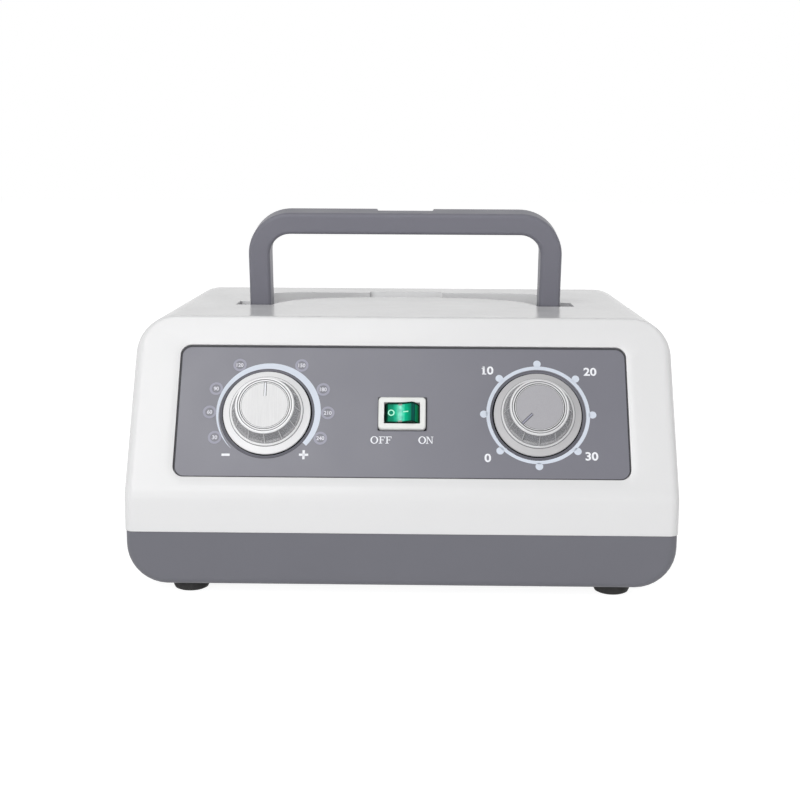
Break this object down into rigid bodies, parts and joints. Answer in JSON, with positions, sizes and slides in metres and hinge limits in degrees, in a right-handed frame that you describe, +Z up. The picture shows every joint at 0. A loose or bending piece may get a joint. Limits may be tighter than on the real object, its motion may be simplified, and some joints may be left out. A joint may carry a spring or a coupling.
{
  "type": "compression therapy pump",
  "caption": "Table-top air pump in a moulded case: sloped control face with dial knobs and a rocker switch, fold-down carrying handle, rear air outlets and power inlet",
  "frame": {"origin": "middle of the footprint, on the surface the feet stand on", "axes": "+Z up, -Y towards the user (the control face), +X to the right as the user sees it"},
  "size_m": [0.242, 0.196, 0.1658],
  "materials": {
    "cover_white": "glossy white moulded plastic, very faint moulding texture",
    "base_grey": "satin mid-grey moulded plastic",
    "panel_grey": "satin grey printed overlay with pale print",
    "knob_silver": "bright silver finish on a moulded knob",
    "knob_cap_bright": "bright satin inset disc",
    "knob_grey": "grey silver finish with fine grain",
    "knob_cap_grey": "grey satin inset disc",
    "shaft_steel": "turned steel",
    "plated_steel": "zinc-plated steel",
    "control_can": "tinned steel can",
    "timer_case": "pale moulded timer case",
    "switch_frame": "off-white moulded switch frame",
    "brass_tabs": "tinned brass tabs",
    "rocker_green": "green translucent rocker",
    "handle_grey": "satin grey moulded handle",
    "black_rubber": "black rubber",
    "cast_alloy": "die-cast alloy",
    "dark_plastic": "dark moulded plastic",
    "cream_plastic": "cream moulded plastic",
    "clear_hose": "milky soft hose",
    "inlet_black": "black moulded plastic",
    "board_green": "green lacquered board",
    "core_steel": "varnished steel laminations",
    "board_parts_mixed": "moulded parts on the board",
    "winding_tape": "yellow insulating tape over the winding",
    "terminal_green": "green moulded terminal block"
  },
  "bodies": {
    "case": {"top_cover": "cover_white", "base_shell": "base_grey", "control_panel": "panel_grey", "pressure_control": "control_can", "timer": "timer_case", "panel_nuts": "plated_steel", "switch_housing": "switch_frame", "switch_tabs": "brass_tabs", "handle_pins": "shaft_steel", "rubber_feet": "black_rubber", "case_screws": "plated_steel", "compressor": "cast_alloy", "compressor_heads": "dark_plastic", "compressor_mounts": "black_rubber", "valve_motor": "plated_steel", "air_valve": "cream_plastic", "outlet_block": "dark_plastic", "air_hoses": "clear_hose", "outlet_hoses": "clear_hose", "power_inlet": "inlet_black", "fuse_holder": "inlet_black", "fuse_cap": "inlet_black", "circuit_board": "board_green", "board_screws": "plated_steel", "transformer": "core_steel", "board_parts": "board_parts_mixed", "inlet_blades": "brass_tabs", "transformer_winding": "winding_tape", "terminal_block": "terminal_green", "heat_sink": "cast_alloy"},
    "pressure_dial": {"pressure_knob": "knob_silver", "pressure_knob_cap": "knob_cap_bright", "pressure_shaft": "shaft_steel"},
    "time_dial": {"time_knob": "knob_grey", "time_knob_cap": "knob_cap_grey", "time_shaft": "shaft_steel"},
    "switch_rocker": {"power_rocker": "rocker_green"},
    "carry_handle": {"handle": "handle_grey"}
  },
  "joints": [
    {"name": "pressure_turn", "type": "hinge", "parent": "case", "child": "pressure_dial", "pos_m": [-0.06, -0.07762, 0.07819], "axis": [0, 0.866, -0.5], "range_deg": [-135, 135]},
    {"name": "time_turn", "type": "hinge", "parent": "case", "child": "time_dial", "pos_m": [0.06, -0.07762, 0.07819], "axis": [0, 0.866, -0.5], "range_deg": [-45, 270]},
    {"name": "rocker_tilt", "type": "hinge", "parent": "case", "child": "switch_rocker", "pos_m": [0, -0.07572, 0.07709], "axis": [0, 0.5, 0.866], "range_deg": [0, 20]},
    {"name": "handle_fold", "type": "hinge", "parent": "case", "child": "carry_handle", "pos_m": [0, 0.00504, 0.1109], "axis": [-1, 0, 0], "range_deg": [0, 98.7]}
  ]
}
